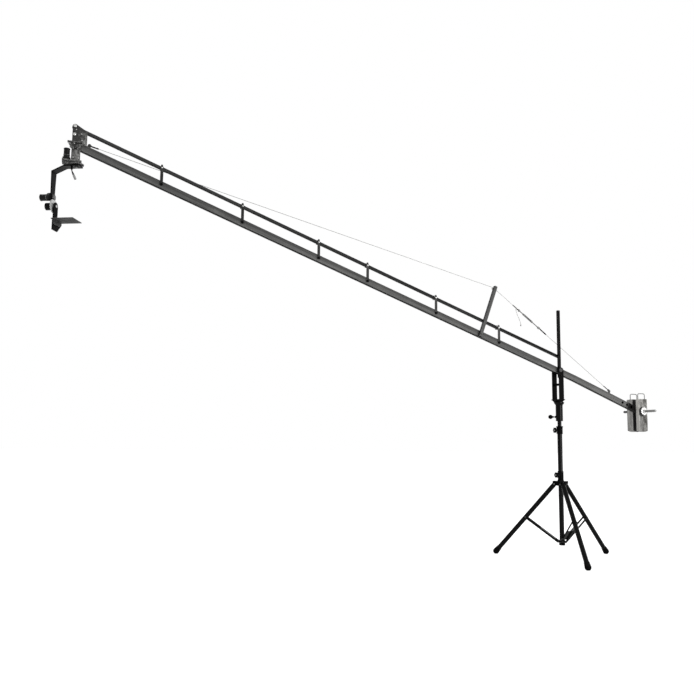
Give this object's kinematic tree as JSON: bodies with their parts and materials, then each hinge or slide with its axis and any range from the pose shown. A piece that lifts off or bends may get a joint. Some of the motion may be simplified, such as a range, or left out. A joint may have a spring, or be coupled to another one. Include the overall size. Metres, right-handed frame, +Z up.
{
  "type": "camera jib crane",
  "caption": "Camera jib crane: folding tripod column, balanced boom with levelling bar and guy cable, motorised pan and tilt head, hanging counterweights.",
  "frame": {"origin": "on the floor under the middle of the crane's box, as it stands in the picture", "axes": "+Z up, +X along the boom from the camera head towards the counterweights, +Y towards the far side of the boom seen from the picture's side"},
  "size_m": [5.8606, 1.151, 3.6039],
  "materials": {
    "black_tube": "satin black anodised tube",
    "black_casting": "black coated plate and castings",
    "knob_plastic": "moulded black plastic",
    "foot_rubber": "matt black rubber",
    "boom_grey": "dark grey anodised, drawn lines along the tube",
    "spigot_alloy": "dark anodised, black bolt heads",
    "dark_bar": "dark grey anodised",
    "link_grey": "dark grey with bright edges",
    "bracket_grey": "grey anodised plate",
    "bright_steel": "zinc plated steel",
    "steel_cable": "galvanised wire cable",
    "motor_black": "black anodised motor casing",
    "gear_alloy": "machined alloy",
    "gear_steel": "machined steel",
    "lead_rubber": "black cable sheath",
    "plug_alloy": "satin nickel connector",
    "cast_weight": "bare grey metal with streaks"
  },
  "bodies": {
    "column": {"main_tube": "black_tube", "brace_base": "black_casting", "top_collar": "black_casting"},
    "hub": {"leg_hub": "black_casting"},
    "hub_knob": {"hub_clamp_knob": "knob_plastic"},
    "top_knob": {"top_clamp_knob": "knob_plastic"},
    "leg_1": {"leg_1": "black_tube", "foot_1": "foot_rubber"},
    "leg_2": {"leg_2": "black_tube", "foot_2": "foot_rubber"},
    "leg_3": {"leg_3": "black_tube", "foot_3": "foot_rubber"},
    "brace_1": {"brace_1": "black_tube"},
    "brace_2": {"brace_2": "black_tube"},
    "brace_3": {"brace_3": "black_tube"},
    "pole": {"inner_pole": "black_tube"},
    "pan": {"pan_sleeve": "black_casting", "fork": "black_casting", "level_post": "black_tube", "tilt_bolt": "bright_steel"},
    "pan_knob": {"pan_lock_knob": "knob_plastic"},
    "boom": {"boom_tube_1": "boom_grey", "boom_tube_2": "boom_grey", "boom_tube_3": "boom_grey", "boom_tube_4": "boom_grey", "boom_spigot_1": "spigot_alloy", "boom_spigot_2": "spigot_alloy", "boom_spigot_3": "spigot_alloy", "boom_tube_rear": "boom_grey", "guy_mast": "dark_bar", "guy_cable_front": "steel_cable", "turnbuckle": "bright_steel", "guy_cable_rear": "steel_cable", "guy_tail": "steel_cable", "weight_bar": "bright_steel"},
    "link_1": {"link_1": "link_grey"},
    "link_2": {"link_2": "link_grey"},
    "link_3": {"link_3": "link_grey"},
    "link_4": {"link_4": "link_grey"},
    "link_5": {"link_5": "link_grey"},
    "link_6": {"link_6": "link_grey"},
    "level_bar": {"level_bar_1": "dark_bar", "level_bar_2": "dark_bar", "level_bar_3": "dark_bar", "level_bar_4": "dark_bar"},
    "head": {"head_bracket": "bracket_grey", "pan_motor": "motor_black"},
    "head_pinion": {"pan_pinion": "gear_steel"},
    "head_arm": {"pan_gear": "gear_alloy", "drop_arm": "black_casting", "tilt_motor": "motor_black", "head_lead": "lead_rubber", "head_plug": "plug_alloy"},
    "arm_pinion": {"tilt_pinion": "gear_steel"},
    "cradle": {"tilt_gear": "gear_alloy", "camera_cradle": "black_casting", "camera_plate": "bracket_grey"},
    "near_weight": {"weight_near": "cast_weight"},
    "far_weight": {"weight_far": "cast_weight"},
    "collar": {"weight_collar": "bright_steel"}
  },
  "joints": [
    {"name": "hub_slide", "type": "slide", "parent": "column", "child": "hub", "axis": [0, 0, 1], "range_m": [0, 0.2682]},
    {"name": "hub_knob_turn", "type": "hinge", "parent": "hub", "child": "hub_knob", "pos_m": [1.90832, 0.07454, 0.793], "axis": [-0.9994, -0.0349, 0], "range_deg": [-360, 0]},
    {"name": "top_knob_turn", "type": "hinge", "parent": "column", "child": "top_knob", "pos_m": [1.90832, 0.07454, 1.225], "axis": [-0.9945, 0.1045, 0], "range_deg": [-360, 0]},
    {"name": "leg_1_fold", "type": "hinge", "parent": "hub", "child": "leg_1", "pos_m": [1.86717, 0.11821, 0.705], "axis": [-0.7278, -0.6858, 0], "range_deg": [0, 39.86]},
    {"name": "leg_2_fold", "type": "hinge", "parent": "hub", "child": "leg_2", "pos_m": [1.96671, 0.08835, 0.705], "axis": [-0.23, 0.9732, 0], "range_deg": [0, 39.86]},
    {"name": "leg_3_fold", "type": "hinge", "parent": "hub", "child": "leg_3", "pos_m": [1.89108, 0.01707, 0.705], "axis": [0.9578, -0.2874, 0], "range_deg": [0, 39.86]},
    {"name": "brace_1_rise", "type": "hinge", "parent": "column", "child": "brace_1", "pos_m": [1.885, 0.09929, 0.16], "axis": [0.7278, 0.6858, 0], "range_deg": [0, 50.28]},
    {"name": "brace_2_rise", "type": "hinge", "parent": "column", "child": "brace_2", "pos_m": [1.94141, 0.08236, 0.16], "axis": [0.23, -0.9732, 0], "range_deg": [0, 50.28]},
    {"name": "brace_3_rise", "type": "hinge", "parent": "column", "child": "brace_3", "pos_m": [1.89855, 0.04198, 0.16], "axis": [-0.9578, 0.2874, 0], "range_deg": [0, 50.28]},
    {"name": "pole_slide", "type": "slide", "parent": "column", "child": "pole", "axis": [0, 0, 1], "range_m": [0, 0.55]},
    {"name": "pan", "type": "hinge", "parent": "pole", "child": "pan", "pos_m": [1.90832, 0.07454, 1.4], "axis": [0, 0, 1], "continuous": true},
    {"name": "pan_knob_turn", "type": "hinge", "parent": "pan", "child": "pan_knob", "pos_m": [1.90832, 0.07454, 1.355], "axis": [-0.809, 0.5878, 0], "range_deg": [-360, 0]},
    {"name": "boom_tilt", "type": "hinge", "parent": "pan", "child": "boom", "pos_m": [1.89232, 0.07454, 1.811], "axis": [0, 1, 0], "range_deg": [-30, 28]},
    {"name": "link_1_pivot", "type": "hinge", "parent": "boom", "child": "link_1", "pos_m": [1.22145, 0.07454, 2.04989], "axis": [0, 1, 0], "range_deg": [-28, 30]},
    {"name": "link_2_pivot", "type": "hinge", "parent": "boom", "child": "link_2", "pos_m": [0.54874, 0.07454, 2.28943], "axis": [0, 1, 0], "range_deg": [-28, 30]},
    {"name": "link_3_pivot", "type": "hinge", "parent": "boom", "child": "link_3", "pos_m": [-0.14045, 0.07454, 2.53484], "axis": [0, 1, 0], "range_deg": [-28, 30]},
    {"name": "link_4_pivot", "type": "hinge", "parent": "boom", "child": "link_4", "pos_m": [-0.60892, 0.07454, 2.70165], "axis": [0, 1, 0], "range_deg": [-28, 30]},
    {"name": "link_5_pivot", "type": "hinge", "parent": "boom", "child": "link_5", "pos_m": [-1.30223, 0.07454, 2.94853], "axis": [0, 1, 0], "range_deg": [-28, 30]},
    {"name": "link_6_pivot", "type": "hinge", "parent": "boom", "child": "link_6", "pos_m": [-1.99188, 0.07454, 3.1941], "axis": [0, 1, 0], "range_deg": [-28, 30]},
    {"name": "head_pivot", "type": "hinge", "parent": "boom", "child": "head", "pos_m": [-2.68702, 0.07454, 3.44163], "axis": [0, 1, 0], "range_deg": [-28, 30]},
    {"name": "level_bar_pivot", "type": "hinge", "parent": "head", "child": "level_bar", "pos_m": [-2.68702, 0.07454, 3.58593], "axis": [0, 1, 0], "range_deg": [-30, 28]},
    {"name": "head_pan", "type": "hinge", "parent": "head", "child": "head_arm", "pos_m": [-2.65802, 0.07454, 3.44163], "axis": [0, 0, 1], "range_deg": [-120, 165]},
    {"name": "pan_pinion_turn", "type": "hinge", "parent": "head", "child": "head_pinion", "pos_m": [-2.73802, 0.07454, 3.44163], "axis": [0, 0, 1], "range_deg": [-326, 223]},
    {"name": "head_tilt", "type": "hinge", "parent": "head_arm", "child": "cradle", "pos_m": [-2.65802, 0.07454, 2.93563], "axis": [0.891, -0.454, 0], "range_deg": [-100, 100]},
    {"name": "tilt_pinion_turn", "type": "hinge", "parent": "head_arm", "child": "arm_pinion", "pos_m": [-2.65802, 0.07454, 3.01163], "axis": [0.891, -0.454, 0], "range_deg": [-246, 246]},
    {"name": "near_weight_pivot", "type": "hinge", "parent": "boom", "child": "near_weight", "pos_m": [2.87678, 0.07454, 1.43194], "axis": [0, 1, 0], "range_deg": [-28, 30]},
    {"name": "far_weight_pivot", "type": "hinge", "parent": "boom", "child": "far_weight", "pos_m": [2.87678, 0.07454, 1.43194], "axis": [0, 1, 0], "range_deg": [-28, 30]},
    {"name": "collar_turn", "type": "hinge", "parent": "boom", "child": "collar", "pos_m": [2.87678, 0.07454, 1.43194], "axis": [0, 1, 0], "continuous": true}
  ],
  "couplings": [
    {"joint": "leg_1_fold", "follows": "hub_slide", "rad_per_m": 2.5907},
    {"joint": "leg_2_fold", "follows": "hub_slide", "rad_per_m": 2.5907},
    {"joint": "leg_3_fold", "follows": "hub_slide", "rad_per_m": 2.5907},
    {"joint": "brace_1_rise", "follows": "hub_slide", "rad_per_m": 3.2687},
    {"joint": "brace_2_rise", "follows": "hub_slide", "rad_per_m": 3.2687},
    {"joint": "brace_3_rise", "follows": "hub_slide", "rad_per_m": 3.2687},
    {"joint": "link_1_pivot", "follows": "boom_tilt", "ratio": -1},
    {"joint": "link_2_pivot", "follows": "boom_tilt", "ratio": -1},
    {"joint": "link_3_pivot", "follows": "boom_tilt", "ratio": -1},
    {"joint": "link_4_pivot", "follows": "boom_tilt", "ratio": -1},
    {"joint": "link_5_pivot", "follows": "boom_tilt", "ratio": -1},
    {"joint": "link_6_pivot", "follows": "boom_tilt", "ratio": -1},
    {"joint": "head_pivot", "follows": "boom_tilt", "ratio": -1},
    {"joint": "level_bar_pivot", "follows": "boom_tilt", "ratio": 1},
    {"joint": "pan_pinion_turn", "follows": "head_pan", "ratio": -1.8571},
    {"joint": "tilt_pinion_turn", "follows": "head_tilt", "ratio": -2.4545},
    {"joint": "near_weight_pivot", "follows": "boom_tilt", "ratio": -1},
    {"joint": "far_weight_pivot", "follows": "boom_tilt", "ratio": -1}
  ]
}
